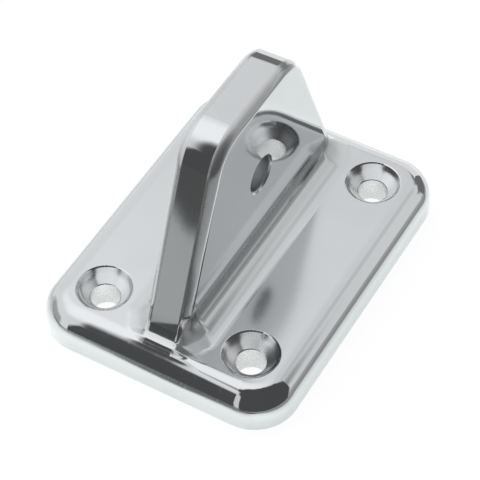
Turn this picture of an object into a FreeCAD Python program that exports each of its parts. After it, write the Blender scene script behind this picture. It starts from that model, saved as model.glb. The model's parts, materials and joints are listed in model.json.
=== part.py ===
import FreeCAD, Part
import math
import os

# Deck hinge, fixed half: one casting in stainless steel.
# A thick rectangular base plate, held down by four countersunk screws, carries one tall lug.
# The mating fork straddles the lug and turns on a pin through its cross hole.
# Millimetres. The origin is the centre of the underside, Z is up off the deck,
# Y runs along the plate and the lug, and X is the axis of the pin.

# Base plate
plate_length = 80.0
plate_width = 60.5
plate_thickness = 9.0
plate_corner_radius = 10.0
plate_edge_rounding = 6.0
underside_easing = 0.6

# Screws: four countersunk heads, one near each corner
screw_spacing_along = 55.0
screw_spacing_across = 36.0
screw_hole_diameter = 6.6
countersink_diameter = 12.4
countersink_angle = 90.0
countersink_rim_easing = 0.4

# Lug: a trapezoid that leans in at both ends, seen from the side
lug_thickness = 10.0
lug_height = 44.0
lug_top_length = 31.2
lug_foot_length = 67.6
lug_top_corner_radius = 10.0
lug_edge_rounding = 2.0
lug_root_fillet = 6.0

# Pin hole through the lug
pin_hole_diameter = 8.2
pin_hole_height = 22.0
pin_hole_mouth_chamfer = 0.5

# How far one solid reaches into or past another before they are joined or cut
overlap = 2.0
# The flat that an edge rounding leaves at least, so that it never uses up the wall it is on
least_flat = 0.5
same = 1e-4


def on_level(edge, level):
    """True if the whole edge lies at one height."""
    box = edge.BoundBox
    return abs(box.ZMin - level) < same and abs(box.ZMax - level) < same


def base_plate():
    """The slab with rounded plan corners, a deep rounding round its top and an eased underside."""
    slab = Part.makeBox(
        plate_width,
        plate_length,
        plate_thickness,
        FreeCAD.Vector(-plate_width / 2, -plate_length / 2, 0),
    )
    uprights = [e for e in slab.Edges if e.BoundBox.ZLength > plate_thickness / 2]
    slab = slab.makeFillet(plate_corner_radius, uprights)

    # The rounding stops short of the countersinks where a thin margin leaves no room for it.
    margin_along = (plate_length - screw_spacing_along - countersink_diameter) / 2
    margin_across = (plate_width - screw_spacing_across - countersink_diameter) / 2
    room = min(margin_along, margin_across, plate_corner_radius, plate_thickness)
    rounding = min(plate_edge_rounding, room - countersink_rim_easing)
    rim = [e for e in slab.Edges if on_level(e, plate_thickness)]
    slab = slab.makeFillet(rounding, rim)
    sole = [e for e in slab.Edges if on_level(e, 0)]
    return slab.makeFillet(underside_easing, sole)


def lug():
    """The trapezoid on edge, its top corners and long edges rounded. Its foot is inside the plate."""
    top = plate_thickness + lug_height
    half_top = lug_top_length / 2
    lean = (lug_foot_length - lug_top_length) / 2 / lug_height
    half_foot = lug_foot_length / 2 + lean * overlap
    outline = [
        FreeCAD.Vector(-lug_thickness / 2, -half_foot, plate_thickness - overlap),
        FreeCAD.Vector(-lug_thickness / 2, -half_top, top),
        FreeCAD.Vector(-lug_thickness / 2, half_top, top),
        FreeCAD.Vector(-lug_thickness / 2, half_foot, plate_thickness - overlap),
    ]
    face = Part.Face(Part.makePolygon(outline + outline[:1]))
    solid = face.extrude(FreeCAD.Vector(lug_thickness, 0, 0))

    top_corners = [e for e in solid.Edges if on_level(e, top) and e.BoundBox.XLength > lug_thickness / 2]
    solid = solid.makeFillet(lug_top_corner_radius, top_corners)
    long_edges = [
        e for e in solid.Edges
        if e.BoundBox.XLength < same and e.BoundBox.ZMax > plate_thickness
    ]
    return solid.makeFillet(min(lug_edge_rounding, (lug_thickness - least_flat) / 2), long_edges)


def cast_body():
    """Plate and lug in one casting. The root fillet runs round the lug's foot and over the rounded ends."""
    body = base_plate().fuse(lug()).removeSplitter()
    side_roots = [
        e for e in body.Edges
        if on_level(e, plate_thickness)
        and e.BoundBox.XLength < same
        and abs(abs(e.CenterOfMass.x) - lug_thickness / 2) < same
    ]
    # The root fillet stops short of the countersinks where they leave no room for it.
    room = (screw_spacing_across - countersink_diameter - lug_thickness) / 2
    return body.makeFillet(min(lug_root_fillet, room - countersink_rim_easing), side_roots)


def screw_hole(x, y):
    """Through hole and countersink, as the drill and the countersink bit leave them."""
    slope = math.tan(math.radians(countersink_angle / 2))
    wide = countersink_diameter / 2 + overlap * slope
    narrow = screw_hole_diameter / 2
    cone_height = (wide - narrow) / slope
    shank = Part.makeCylinder(narrow, plate_thickness + 2 * overlap, FreeCAD.Vector(x, y, -overlap))
    cone_foot = FreeCAD.Vector(x, y, plate_thickness + overlap - cone_height)
    return shank.fuse(Part.makeCone(narrow, wide, cone_height, cone_foot))


def drill_screw_holes(body):
    """Four screw holes, each with its rim eased."""
    for side in (-1, 1):
        for end in (-1, 1):
            body = body.cut(screw_hole(side * screw_spacing_across / 2, end * screw_spacing_along / 2))
    rims = [
        e for e in body.Edges
        if on_level(e, plate_thickness)
        and isinstance(e.Curve, Part.Circle)
        and abs(e.Curve.Radius - countersink_diameter / 2) < same
    ]
    return body.makeFillet(countersink_rim_easing, rims)


def bore_pin_hole(body):
    """The plain hole for the hinge pin, right through the lug, with both mouths chamfered."""
    start = FreeCAD.Vector(-lug_thickness / 2 - overlap, 0, plate_thickness + pin_hole_height)
    drill = Part.makeCylinder(
        pin_hole_diameter / 2, lug_thickness + 2 * overlap, start, FreeCAD.Vector(1, 0, 0)
    )
    body = body.cut(drill)
    mouths = [
        e for e in body.Edges
        if isinstance(e.Curve, Part.Circle)
        and abs(e.Curve.Radius - pin_hole_diameter / 2) < same
        and abs(abs(e.CenterOfMass.x) - lug_thickness / 2) < same
    ]
    return body.makeChamfer(pin_hole_mouth_chamfer, mouths)


hinge_base = bore_pin_hole(drill_screw_holes(cast_body()))
os.makedirs("parts", exist_ok=True)
hinge_base.exportStep("parts/hinge_base.step")
print("valid", hinge_base.isValid(), "solids", len(hinge_base.Solids), "volume", round(hinge_base.Volume))
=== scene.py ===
import json
import math

import bpy
from mathutils import Matrix, Vector

# Deck hinge, fixed half: a mirror-polished stainless casting on a white floor.
# Metres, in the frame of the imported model: Z up off the deck, Y along the lug, X along the pin.

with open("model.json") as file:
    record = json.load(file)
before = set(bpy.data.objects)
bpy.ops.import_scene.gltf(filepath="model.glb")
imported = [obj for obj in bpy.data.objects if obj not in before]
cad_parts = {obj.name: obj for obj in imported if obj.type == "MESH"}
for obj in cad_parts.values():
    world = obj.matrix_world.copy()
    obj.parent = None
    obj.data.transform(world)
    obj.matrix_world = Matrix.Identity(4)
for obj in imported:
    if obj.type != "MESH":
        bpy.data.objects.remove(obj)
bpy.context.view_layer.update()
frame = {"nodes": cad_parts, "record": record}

MM = 0.001


def step(start, full):
    """A soft step between two lengths in millimetres: where it starts, and where it is full."""
    return start * MM, full * MM


# Sizes of the casting that its finish follows. The screws and the pin come from its mounts.
mounts = {m["name"]: m for m in frame["record"]["mounts"]}
pin_centre = Vector(mounts["pin_hole"]["pos_m"])
pin_radius = mounts["pin_hole"]["dims"]["r_mm"] * MM
screws = mounts["deck_screws"]["dims"]
screw_across = screws["spacing_x_mm"] * MM
screw_along = screws["spacing_y_mm"] * MM
screw_radius = screws["hole_r_mm"] * MM
countersink_radius = 6.2 * MM
plate_top = 9.0 * MM
root_top = 15.5 * MM
lug_half_thickness = 5.0 * MM
lug_foot_end = 33.8 * MM

# The casting's broad waviness from grinding by hand, and the finer ripple on it
wave_size = 14 * MM
wave_height = 30e-6
ripple_size = 5 * MM
ripple_height = 4e-6
# Buffing marks and scattered hairlines, long along the plate
marks_size = 0.35 * MM
marks_stretch = (1.0, 0.06, 1.0)
marks_height = 0.25e-6
hairs_size = 0.5 * MM
hairs_stretch = (1.0, 0.03, 0.4)
hairs_share = (0.62, 0.72)
# Turning rings in the countersinks and in the pin hole
ring_pitch = 0.35 * MM
ring_height = 0.2e-6
bore_ring_pitch = 0.45 * MM
bore_ring_height = 0.15e-6

# Holes: soft steps by distance from the hole's axis
countersink_step = (countersink_radius, countersink_radius - 0.4 * MM)
shank_step = (screw_radius + 0.3 * MM, screw_radius)
pin_hole_step = (pin_radius + 0.3 * MM, pin_radius + 0.05 * MM)
# The countersink curves in toward its shank, and its far wall catches the light overhead
bowl_step = step(5.7, 4.3)
bowl_lean = 1.5
far_wall_way = (-0.51, 0.86)
far_wall_step = (0.84, 0.99)
far_wall_lean = 2.5

# Flat top of the plate, by height off it
flat_top_step = step(0.06, 0.02)
# Root fillet by height, and the part along the lug's sides that the wheel barely reaches. Both are
# rougher, and both are darkened with painted shade.
root_foot_step = (plate_top, plate_top + 1.5 * MM)
root_head_step = (root_top, root_top - 4 * MM)
side_root_foot_step = step(12, 13.2)
side_root_head_step = step(16, 14.8)
side_root_end_step = step(31, 28)
# The root's four corners, by distance from the corners of the lug's foot
root_corner_reach_step = step(7.5, 5.5)
root_corner_side_step = step(3.2, 4.4)
root_corner_end_step = step(35.0, 34.5)
root_corner_foot_step = step(9.02, 9.2)
root_corner_head_step = step(16.5, 14.5)
root_corner_lean = 0.8

# The lug above its root, and its long edges by how far the surface faces the side
lug_step = (root_top - 1 * MM, root_top + 2 * MM)
edge_inner_step = (0.01, 0.08)
edge_outer_step = (0.98, 0.9)
# The crown along the lug's top edges, from the middle forward
crown_edge_height_step = step(45, 50)
crown_edge_front_step = step(11, 1)
crown_edge_lean = 0.45
# The slight crown over the lug's width
lug_crown_right_step = step(2.5, 5)
lug_crown_left_step = step(-2, 4)
lug_crown_lean = 0.05
# The front right edge near the lug's foot, by the way that the surface faces and by height
foot_edge_side_step = (0.05, 0.3)
foot_edge_front_step = (0.1, 0.3)
foot_edge_head_step = step(30, 22)
foot_edge_foot_step = step(12.5, 14)
foot_edge_lean = 0.5

# The plate's left corners, and the low front rounding by the way that it faces
plate_crown_side_step = step(15.5, 22)
plate_crown_end_step = step(33.5, 35.5)
plate_crown_lean = 0.09
low_front_upper_step = (0.84, 0.87)
low_front_lower_step = (0.96, 0.93)
low_front_step = step(38, 38.5)

# The front root from the lug's end face down onto the plate's rounding, about its middle
front_middle = 2 * MM
front_middle_step = step(10, 4)
front_root_end_step = step(27, 28)
front_root_foot_step = step(9.9, 10.2)
end_face_slope = 0.25
end_face_head_step = step(18.6, 16.6)
end_face_lean = 0.09
heel_slope = 0.3
heel_head_step = step(14.1, 12.5)
heel_lean = 0.12
ridge_start_step = step(33.4, 33.9)
ridge_end_step = step(35.0, 34.6)
ridge_lean = 0.38
lip_start_step = step(34.7, 35.1)
lip_end_step = step(37.2, 36.2)
lip_lean = 0.17

# Roughness of the mirror polish, and what each place adds to it
mirror_roughness = 0.04
marks_roughness = 0.03
hairs_roughness = 0.05
added_roughness = {
    "countersink": 0.22,
    "pin_hole": 0.3,
    "root": 0.06,
    "root_corner": 0.25,
    "side_root": 0.2,
    "low_front": 0.18,
    "edge": 0.2,
    "crown_edge": 0.14,
    "flat_top": 0.1,
}

# Colours of the steel. Some are painted light and shade: darker in the countersinks, the root, along the
# root of the lug's sides and in the pin hole, and lighter on the screw shanks.
tone_size = 20 * MM
tone_share = (0.35, 0.7)
tone_depth = 0.5
# Painted shade: how far the colour darkens in the countersinks
countersink_painted_shade = 0.3
# Painted shade: how far the colour darkens along the root of the lug's sides
side_root_painted_shade = 0.8
bright_steel = (0.715, 0.725, 0.735)
# Duller steel for random patches, and painted shade in the countersinks
dull_and_painted_shade_steel = (0.665, 0.68, 0.69)
# Painted shade in the root fillet, whose satin finish is in its roughness
satin_steel_with_painted_shade = (0.60, 0.62, 0.62)
# Painted shade along the root of the lug's sides
side_root_painted_shade_steel = (0.40, 0.42, 0.42)
# Painted light: the screw shanks lighter than the steel
shank_steel_painted_light = (0.8, 0.8, 0.8)
# Painted shade in the pin hole
bore_steel_painted_shade = (0.62, 0.63, 0.64)

# Studio: a white tent, lighter on the left and overhead. Angles are in degrees, and an azimuth counts
# from the front to the right. A cap is azimuth, elevation, radius and the softness of its rim.
tent_level = 0.80
tent_tint = (0.99, 1.0, 1.01)
left_side_step = (-0.1, -0.9)
left_side_gain = 0.10
overhead_cap = (-100, 70, 24, 12)
overhead_gain = 0.32
far_right_cap = (151, 49, 6, 3)
far_right_loss = 0.13
# The opening that the camera looks through, with a lit slit near its left side
opening_cap = (50, 35, 63.5, 2.5)
opening_left = -33
opening_right = 100
opening_side_softness = 0.03
opening_head_step = (42, 36)
slit_place = -0.13
slit_slope = 0.12
slit_bend = 0.05
slit_bend_step = (48, 58)
slit_width_step = (0.065, 0.045)
slit_head_step = (68, 62)
slit_front_step = (0.0, -0.2)
slit_light = 0.95
# The dark room beyond the tent's rear and its lower edges at the sides
rear_middle = 177
rear_side_step = (42, 34)
rear_head_start = 32
rear_head_full = 27
rear_lift_start = 10
rear_lift_full = 5
rear_lift_left_step = (-0.2, 0.0)
rear_lift_right_step = (0.34, 0.2)
rear_depth = 0.85
right_hem_head_step = (10, 7)
right_hem_side_step = (0.5, 0.6)
right_hem_depth = 0.5
left_hem_head_step = (24, 14)
left_hem_side_step = (0.72, 0.85)
left_hem_front_step = (-0.2, -0.02)
left_hem_depth = 0.55
room_level = 0.085

# The white card behind the object
card_left = -150 * MM
card_right = 36 * MM
card_height = 66 * MM
card_distance = 130 * MM
card_strength = 0.95

# The floor, to the camera and in the metal. In the metal it shows painted light and shade.
floor_size = 3.0
paper_level = 0.16
paper_glow = 0.94
lit_floor_glow = 0.5
lit_floor_tint = (0.97, 1.0, 0.99)
# The painted pool of light round the object, the lit sheet. Its front edge bows back to both sides of the
# middle, more steeply
# on the right: by the bow times the square of the distance, up to the reach.
sheet_middle = 2 * MM
sheet_right_step = step(0, 4)
left_bow = 24.5
right_bow_more = 105
left_bow_reach = 28 * MM
right_bow_reach_less = 17.3 * MM
sheet_front_step = step(-56, -48)
sheet_right_edge_step = step(60, 44)
sheet_left_step = step(52, 66)
sheet_left_loss = 0.25
# Painted light: the brighter skirt close round the plate
skirt_front_step = step(62, 44)
skirt_rear_step = step(47, 40)
skirt_side_step = step(44, 33)
skirt_painted_light = 0.25
# Beyond the sheet, painted on the floor: painted shade just ahead of it, paler floor past that, then the
# painted dark of the room
shade_step = step(-102, -92)
far_step = step(215, 260)
off_right_slope = 0.407
off_right_step = step(24, 36)
dark_floor_level = 0.1
pale_floor_painted_light = 0.37
right_floor_painted_light = 0.36
rear_floor_step = step(75, 95)
rear_floor_side_step = step(40, 20)
rear_floor_painted_light = 0.5

# Camera, as the photograph was taken
camera_azimuth = math.radians(30.65)
camera_elevation = math.radians(49.52)
camera_roll = math.radians(-1.0)
camera_distance = 435.3 * MM
camera_aim_right = -0.38 * MM
camera_aim_up = -1.30 * MM
camera_lens = 149.38
camera_sensor = 36.0
camera_clip_start = 10 * MM


class Wire:
    """A number inside a node tree. Python's arithmetic signs add Math nodes to it."""

    def __init__(self, recipe, socket):
        self.recipe = recipe
        self.socket = socket

    def __add__(self, other):
        return self.recipe.maths("ADD", self, other)

    __radd__ = __add__

    def __sub__(self, other):
        return self.recipe.maths("SUBTRACT", self, other)

    def __rsub__(self, other):
        return self.recipe.maths("SUBTRACT", other, self)

    def __mul__(self, other):
        return self.recipe.maths("MULTIPLY", self, other)

    __rmul__ = __mul__

    def __truediv__(self, other):
        return self.recipe.maths("DIVIDE", self, other)

    def __neg__(self):
        return self * -1

    def __abs__(self):
        return self.recipe.maths("ABSOLUTE", self)


class Recipe:
    """The node tree of one material or world."""

    def __init__(self, owner):
        owner.use_nodes = True
        self.tree = owner.node_tree
        self.tree.nodes.clear()

    def fill(self, entry, value):
        """Gives an input socket a value, or links another socket to it."""
        value = value.socket if isinstance(value, Wire) else value
        if isinstance(value, bpy.types.NodeSocket):
            self.tree.links.new(value, entry)
        else:
            entry.default_value = value

    def node(self, kind, settings=None, sockets=None):
        """Adds a node: its settings first, then the values or links of its sockets."""
        made = self.tree.nodes.new("ShaderNode" + kind)
        for name, value in (settings or {}).items():
            setattr(made, name, value)
        for name, value in (sockets or {}).items():
            self.fill(made.inputs[name], value)
        return made

    def maths(self, operation, *values):
        made = self.node("Math", {"operation": operation}, dict(enumerate(values)))
        return Wire(self, made.outputs[0])

    def vector_maths(self, operation, *values):
        return self.node("VectorMath", {"operation": operation}, dict(enumerate(values)))

    def split(self, vector):
        """The three parts of a vector, each as a Wire."""
        parts = self.node("SeparateXYZ", None, {0: vector})
        return [Wire(self, s) for s in parts.outputs]

    def join(self, x, y, z):
        """A vector, or a colour, from its three parts."""
        return self.node("CombineXYZ", None, {0: x, 1: y, 2: z}).outputs[0]

    def rise(self, value, start, full):
        """0 before start and 1 past full, with a soft step between. It falls where full is the lesser."""
        settings = {"interpolation_type": "SMOOTHSTEP"}
        sockets = {"Value": value, "From Min": start, "From Max": full, "To Min": 0.0, "To Max": 1.0}
        return Wire(self, self.node("MapRange", settings, sockets).outputs["Result"])

    def between(self, value, first_step, second_step):
        """1 between two soft steps, and 0 outside them."""
        return self.rise(value, *first_step) * self.rise(value, *second_step)

    def distance(self, a, b):
        """How far off a point is whose offsets are a and b."""
        return self.maths("SQRT", a * a + b * b)

    def noise(self, vector, size, detail=2.0, rough=0.5):
        """Smooth noise about 0.5 whose features are about this size, in metres."""
        sockets = {"Vector": vector, "Scale": 1.0 / size, "Detail": detail, "Roughness": rough}
        return Wire(self, self.node("TexNoise", None, sockets).outputs[0])

    def stretched(self, vector, scales):
        """The vector with each axis scaled, so that a pattern runs long where the scale is small."""
        return self.vector_maths("MULTIPLY", vector, scales).outputs[0]

    def colour_mix(self, share, first, second):
        """A colour between two, by share."""
        made = self.node("Mix", {"data_type": "RGBA"})
        for name, value in (("Factor", share), ("A", first), ("B", second)):
            self.fill([s for s in made.inputs if s.name == name and s.enabled][0], value)
        return [s for s in made.outputs if s.enabled][0]


def opaque(red_green_blue):
    return tuple(red_green_blue) + (1.0,)


def grey(level):
    return opaque((level, level, level))


class Casting:
    """A point on the casting: where it lies, which way it faces, and how far it is in each named place."""

    def __init__(self, recipe):
        rise, between = recipe.rise, recipe.between
        self.recipe = recipe
        self.point = recipe.node("TexCoord").outputs["Object"]
        x, y, z = recipe.split(self.point)
        self.x, self.y, self.z = x, y, z
        facing = recipe.split(recipe.node("NewGeometry").outputs["Normal"])
        self.facing_x, self.facing_y = facing[:2]

        self.from_hole_x = x - recipe.maths("SIGN", x) * (screw_across / 2)
        self.from_hole_y = y - recipe.maths("SIGN", y) * (screw_along / 2)
        self.from_screw = recipe.distance(self.from_hole_x, self.from_hole_y)
        from_pin = recipe.distance(y - pin_centre.y, z - pin_centre.z)
        from_corner = recipe.distance(abs(x) - lug_half_thickness, abs(y) - lug_foot_end)

        self.shank = rise(self.from_screw, *shank_step)
        self.lug = rise(z, *lug_step)
        edge = between(abs(self.facing_x), edge_inner_step, edge_outer_step) * self.lug
        low = between(-self.facing_y, low_front_upper_step, low_front_lower_step)
        side_root = between(z, side_root_foot_step, side_root_head_step)
        self.masks = {
            "countersink": rise(self.from_screw, *countersink_step),
            "pin_hole": rise(from_pin, *pin_hole_step),
            "flat_top": rise(abs(z - plate_top), *flat_top_step),
            "root": between(z, root_foot_step, root_head_step),
            "side_root": side_root * rise(abs(y), *side_root_end_step),
            "root_corner": (
                rise(from_corner, *root_corner_reach_step)
                * rise(abs(x), *root_corner_side_step)
                * rise(abs(y), *root_corner_end_step)
                * between(z, root_corner_foot_step, root_corner_head_step)
            ),
            "low_front": low * rise(-y, *low_front_step),
            "edge": edge,
            "crown_edge": edge * rise(z, *crown_edge_height_step) * rise(y, *crown_edge_front_step),
        }

    def front_root_lean(self):
        """How far the wheel has leaned the front root, from the lug's end face to the plate's rounding."""
        rise, between = self.recipe.rise, self.recipe.between
        x, y, z = self.x, self.y, self.z
        end_face = rise(-y, *front_root_end_step) * rise(z, *front_root_foot_step)
        lean = (
            end_face * rise(z - end_face_slope * x, *end_face_head_step) * end_face_lean
            + end_face * rise(z - heel_slope * x, *heel_head_step) * heel_lean
            + between(-y, ridge_start_step, ridge_end_step) * ridge_lean
            - between(-y, lip_start_step, lip_end_step) * lip_lean
        )
        return rise(abs(x - front_middle), *front_middle_step) * lean

    def wheel_lean(self):
        """The small lean that polishing by hand gives edges, corners, roots and countersinks."""
        rise, between = self.recipe.rise, self.recipe.between
        x, y, z = self.x, self.y, self.z
        corner = self.masks["root_corner"] * root_corner_lean
        plate_crown = rise(-x, *plate_crown_side_step) * rise(abs(y), *plate_crown_end_step)
        lug_crown = self.lug * (rise(x, *lug_crown_right_step) - rise(-x, *lug_crown_left_step))
        crown = lug_crown * lug_crown_lean - plate_crown * plate_crown_lean
        foot_edge = (
            rise(self.facing_x, *foot_edge_side_step)
            * rise(-self.facing_y, *foot_edge_front_step)
            * between(z, foot_edge_foot_step, foot_edge_head_step)
            * foot_edge_lean
        )
        cone = self.masks["countersink"] * (1 - self.shank)
        bowl = cone * rise(self.from_screw, *bowl_step)
        toward_far_wall = self.from_hole_x * far_wall_way[0] + self.from_hole_y * far_wall_way[1]
        far_wall = cone * rise(toward_far_wall / self.from_screw, *far_wall_step)
        return self.recipe.join(
            crown - self.facing_x * (corner + foot_edge),
            self.front_root_lean() - self.facing_y * corner,
            bowl * bowl_lean + far_wall * far_wall_lean + self.masks["crown_edge"] * crown_edge_lean,
        )

    def steel_colour(self):
        """Bright steel, duller in patches, satin in the root, with painted shade there, in the
        countersinks, along the root's sides and in the pin hole, and painted light on the screw shanks.
        """
        mix, masks = self.recipe.colour_mix, self.masks
        tone = self.recipe.rise(self.recipe.noise(self.point, tone_size), *tone_share)
        # Random duller patches, and painted shade in the countersinks
        dullness_and_painted_shade = tone * tone_depth + masks["countersink"] * countersink_painted_shade
        colour = mix(dullness_and_painted_shade, opaque(bright_steel), opaque(dull_and_painted_shade_steel))
        # The root: satin, and darkened with painted shade
        colour = mix(masks["root"], colour, opaque(satin_steel_with_painted_shade))
        # Painted shade along the root of the lug's sides
        colour = mix(masks["side_root"] * side_root_painted_shade, colour, opaque(side_root_painted_shade_steel))
        # Painted light on the screw shanks
        colour = mix(self.shank, colour, opaque(shank_steel_painted_light))
        # The pin hole: rougher, and darkened with painted shade
        return mix(masks["pin_hole"], colour, opaque(bore_steel_painted_shade))


def polished_stainless():
    """Cast stainless steel buffed to a mirror, satin in the root and dull in the holes, with painted shade
    in the root, along its sides, in the countersinks and in the pin hole, and painted light on the screw
    shanks.
    """
    material = bpy.data.materials.new("polished_stainless")
    recipe = Recipe(material)
    casting = Casting(recipe)

    waves = recipe.noise(casting.point, wave_size, 1.0, 0.4)
    ripple = recipe.noise(casting.point, ripple_size, 1.0, 0.4)
    marks = recipe.noise(recipe.stretched(casting.point, marks_stretch), marks_size, 3.0, 0.6)
    hairs = recipe.noise(recipe.stretched(casting.point, hairs_stretch), hairs_size)
    hairs = recipe.rise(hairs, *hairs_share)
    rings = recipe.maths("SINE", casting.from_screw * (2 * math.pi / ring_pitch))
    bore_rings = recipe.maths("SINE", casting.x * (2 * math.pi / bore_ring_pitch))
    height = (
        waves * wave_height
        + ripple * ripple_height
        + marks * marks_height
        + rings * casting.masks["countersink"] * ring_height
        + bore_rings * casting.masks["pin_hole"] * bore_ring_height
    )
    bump = recipe.node("Bump", None, {"Strength": 1.0, "Distance": 1.0, "Height": height})
    leaned = recipe.vector_maths("ADD", bump.outputs[0], casting.wheel_lean())
    surface = recipe.vector_maths("NORMALIZE", leaned.outputs[0])

    roughness = mirror_roughness + marks * marks_roughness + hairs * hairs_roughness
    for name, added in added_roughness.items():
        roughness = roughness + casting.masks[name] * added

    sockets = {
        "Base Color": casting.steel_colour(),
        "Metallic": 1.0,
        "Roughness": roughness,
        "Normal": surface.outputs[0],
    }
    metal = recipe.node("BsdfPrincipled", None, sockets)
    recipe.node("OutputMaterial", None, {"Surface": metal.outputs[0]})
    return material


class Studio:
    """The directions round the object, and how light the studio is in each."""

    def __init__(self, recipe):
        self.recipe = recipe
        self.way = recipe.node("TexCoord").outputs["Generated"]
        self.x, self.y, self.z = recipe.split(self.way)
        self.azimuth = recipe.maths("ARCTAN2", self.x, -self.y) * (180 / math.pi)
        self.elevation = recipe.maths("ARCSINE", self.z) * (180 / math.pi)

    def toward(self, direction):
        """How far the way points along a direction, from -1 to 1."""
        made = self.recipe.vector_maths("DOT_PRODUCT", self.way, direction)
        return Wire(self.recipe, made.outputs["Value"])

    def cap(self, azimuth, elevation, radius, softness):
        """1 within radius degrees of a direction, with a soft rim."""
        a, e = math.radians(azimuth), math.radians(elevation)
        middle = (math.sin(a) * math.cos(e), -math.cos(a) * math.cos(e), math.sin(e))
        outside = math.cos(math.radians(radius + softness))
        inside = math.cos(math.radians(radius - softness))
        return self.recipe.rise(self.toward(middle), outside, inside)

    def right_of(self, azimuth):
        """1 for directions to the right of a vertical plane through this azimuth."""
        a = math.radians(azimuth)
        sideways = self.toward((math.cos(a), math.sin(a), 0))
        return self.recipe.rise(sideways, -opening_side_softness, opening_side_softness)

    def tent(self):
        """The light of the tent, the soft box overhead and the lit side on the left."""
        left_side = self.recipe.rise(self.x, *left_side_step) * left_side_gain
        overhead = self.cap(*overhead_cap) * overhead_gain
        far_right = self.cap(*far_right_cap) * far_right_loss
        return tent_level + left_side + overhead - far_right

    def opening(self):
        """The opening that the camera looks through, down to the table, with its lit slit."""
        rise = self.recipe.rise
        sides = self.right_of(opening_left) * (1 - self.right_of(opening_right))
        below = sides * rise(self.elevation, *opening_head_step)
        bend = rise(self.elevation, *slit_bend_step) * slit_bend
        from_slit = abs(self.x + self.z * slit_slope + bend - slit_place)
        slit = (
            rise(from_slit, *slit_width_step)
            * rise(self.elevation, *slit_head_step)
            * rise(self.y, *slit_front_step)
        )
        return self.recipe.maths("MAXIMUM", self.cap(*opening_cap), below) * (1 - slit * slit_light)

    def rear(self):
        """The dark beyond the tent's rear, which reaches higher just to the right of the middle."""
        rise = self.recipe.rise
        lift = rise(self.x, *rear_lift_left_step) * rise(self.x, *rear_lift_right_step)
        head = (rear_head_start + rear_lift_start * lift, rear_head_full + rear_lift_full * lift)
        from_middle = abs(abs(self.azimuth) - rear_middle)
        return rise(from_middle, *rear_side_step) * rise(self.elevation, *head) * rear_depth

    def hems(self):
        """The dark under the tent's lower edges, right and left."""
        rise = self.recipe.rise
        right = rise(self.elevation, *right_hem_head_step) * rise(self.x, *right_hem_side_step)
        left = (
            rise(self.elevation, *left_hem_head_step)
            * rise(-self.x, *left_hem_side_step)
            * rise(-self.y, *left_hem_front_step)
        )
        return right * right_hem_depth, left * left_hem_depth


def studio_world():
    """Soft light from all round, brighter overhead on the left, with the dark room behind the camera."""
    world = bpy.data.worlds.new("studio")
    bpy.context.scene.world = world
    recipe = Recipe(world)
    studio = Studio(recipe)
    dark = studio.opening()
    for part in (studio.rear(), *studio.hems()):
        dark = recipe.maths("MAXIMUM", dark, part)
    light = studio.tent() * (1 - dark) + room_level * dark

    colour = recipe.join(*(light * tint for tint in tent_tint))
    seen = recipe.node("Background", None, {"Color": colour, "Strength": 1.0})
    white = recipe.node("Background", None, {"Color": grey(1.0), "Strength": 1.0})
    camera_ray = recipe.node("LightPath").outputs["Is Camera Ray"]
    mixed = recipe.node("MixShader", None, {0: camera_ray, 1: seen.outputs[0], 2: white.outputs[0]})
    recipe.node("OutputWorld", None, {"Surface": mixed.outputs[0]})


def painted_floor_light(recipe):
    """Painted light and shade on the floor, seen in the metal: a painted pool of light round the object,
    and dimmer floor beyond it.
    """
    rise = recipe.rise
    x, y = recipe.split(recipe.node("TexCoord").outputs["Object"])[:2]

    aside = x - sheet_middle
    to_right = rise(aside, *sheet_right_step)
    bow = left_bow + right_bow_more * to_right
    reach = recipe.maths("MINIMUM", abs(aside), left_bow_reach - right_bow_reach_less * to_right)
    near_right = rise(x, *sheet_right_edge_step)
    sheet = rise(y + bow * reach * reach, *sheet_front_step) * near_right
    dimmer_left = rise(-x, *sheet_left_step) * sheet_left_loss

    pale = (
        (1 - rise(-y, *far_step))
        * (1 - rise(y, *shade_step))
        * (1 - rise(x - off_right_slope * y, *off_right_step))
    )
    ahead = dark_floor_level + pale_floor_painted_light * pale
    beyond = ahead * near_right + right_floor_painted_light * (1 - near_right)
    rear = rise(y, *rear_floor_step) * rise(x, *rear_floor_side_step) * rear_floor_painted_light

    skirt = rise(-y, *skirt_front_step) * rise(y, *skirt_rear_step) * rise(abs(x), *skirt_side_step)
    return sheet * (1 - dimmer_left) + beyond * (1 - sheet) + rear + skirt * skirt_painted_light


def floor_material():
    """White paper: plain with a soft shadow to the camera, and with painted light only near the object in
    the metal.
    """
    material = bpy.data.materials.new("floor_white")
    recipe = Recipe(material)

    paper = recipe.node("BsdfDiffuse", None, {"Color": grey(paper_level)})
    glow = recipe.node("Emission", None, {"Color": grey(1.0), "Strength": paper_glow})
    plain = recipe.node("AddShader", None, {0: paper.outputs[0], 1: glow.outputs[0]})

    # Painted light and shade on the floor, which only the metal sees
    level = painted_floor_light(recipe)
    tone = recipe.join(*(level * tint for tint in lit_floor_tint))
    lit_paper = recipe.node("BsdfDiffuse", None, {"Color": tone})
    lit_glow = recipe.node("Emission", None, {"Color": tone, "Strength": lit_floor_glow})
    lit = recipe.node("AddShader", None, {0: lit_paper.outputs[0], 1: lit_glow.outputs[0]})

    camera_ray = recipe.node("LightPath").outputs["Is Camera Ray"]
    mixed = recipe.node("MixShader", None, {0: camera_ray, 1: lit.outputs[0], 2: plain.outputs[0]})
    recipe.node("OutputMaterial", None, {"Surface": mixed.outputs[0]})
    return material


def white_floor():
    """The white paper that the object stands on."""
    bpy.ops.object.select_all(action="DESELECT")
    bpy.ops.mesh.primitive_plane_add(size=floor_size, location=(0, 0, 0))
    floor = bpy.context.object
    floor.name = "floor"
    floor.data.materials.append(floor_material())


def card_material():
    material = bpy.data.materials.new("card_white")
    recipe = Recipe(material)
    glow = recipe.node("Emission", None, {"Color": grey(1.0), "Strength": card_strength})
    recipe.node("OutputMaterial", None, {"Surface": glow.outputs[0]})
    return material


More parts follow.
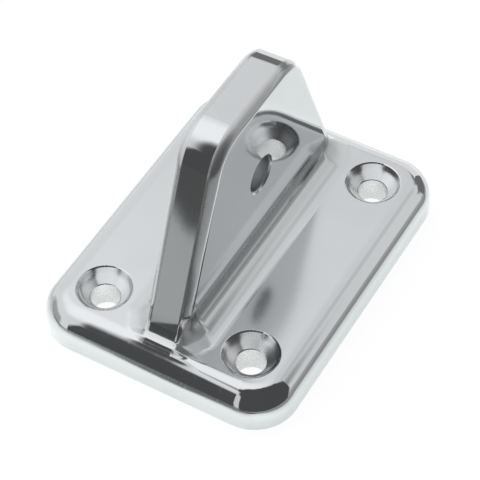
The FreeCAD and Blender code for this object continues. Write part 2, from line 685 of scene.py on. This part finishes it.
def card_behind():
    """A white card that stands behind the object, out of view, and lights the plate's rear edge."""
    bpy.ops.object.select_all(action="DESELECT")
    bpy.ops.mesh.primitive_plane_add(size=1.0, location=(0, 0, 0))
    card = bpy.context.object
    card.name = "card_behind"
    middle = ((card_right + card_left) / 2, card_distance, card_height / 2)
    bpy.ops.object.mode_set(mode="EDIT")
    bpy.ops.mesh.select_all(action="SELECT")
    bpy.ops.transform.resize(value=(card_right - card_left, card_height, 1))
    bpy.ops.transform.rotate(value=math.radians(90), orient_axis="X", center_override=(0, 0, 0))
    bpy.ops.transform.translate(value=middle)
    bpy.ops.object.mode_set(mode="OBJECT")
    card.data.materials.append(card_material())
    card.visible_camera = False
    card.visible_diffuse = False
    card.visible_shadow = False


def photograph_camera():
    """The camera at the photograph's viewing angle and distance."""
    out = Vector((
        math.sin(camera_azimuth) * math.cos(camera_elevation),
        -math.cos(camera_azimuth) * math.cos(camera_elevation),
        math.sin(camera_elevation),
    ))
    level_right = Vector((math.cos(camera_azimuth), math.sin(camera_azimuth), 0))
    level_up = out.cross(level_right)
    right = math.cos(camera_roll) * level_right + math.sin(camera_roll) * level_up
    up = out.cross(right)
    eye = Vector((0, 0, plate_top)) + camera_distance * out + camera_aim_right * right + camera_aim_up * up

    data = bpy.data.cameras.new("photograph")
    data.sensor_width = camera_sensor
    data.lens = camera_lens
    data.clip_start = camera_clip_start
    camera = bpy.data.objects.new("photograph", data)
    bpy.context.scene.collection.objects.link(camera)
    camera.matrix_world = Matrix((
        (right.x, up.x, out.x, eye.x),
        (right.y, up.y, out.y, eye.y),
        (right.z, up.z, out.z, eye.z),
        (0, 0, 0, 1),
    ))
    bpy.context.scene.camera = camera


def hinge_casting():
    """The casting itself, as the frame holds it, in polished steel."""
    casting = frame["nodes"]["hinge_base"]
    casting.data.materials.clear()
    casting.data.materials.append(polished_stainless())


photograph_camera()
studio_world()
white_floor()
card_behind()
hinge_casting()

bpy.context.scene.view_settings.view_transform = "Standard"
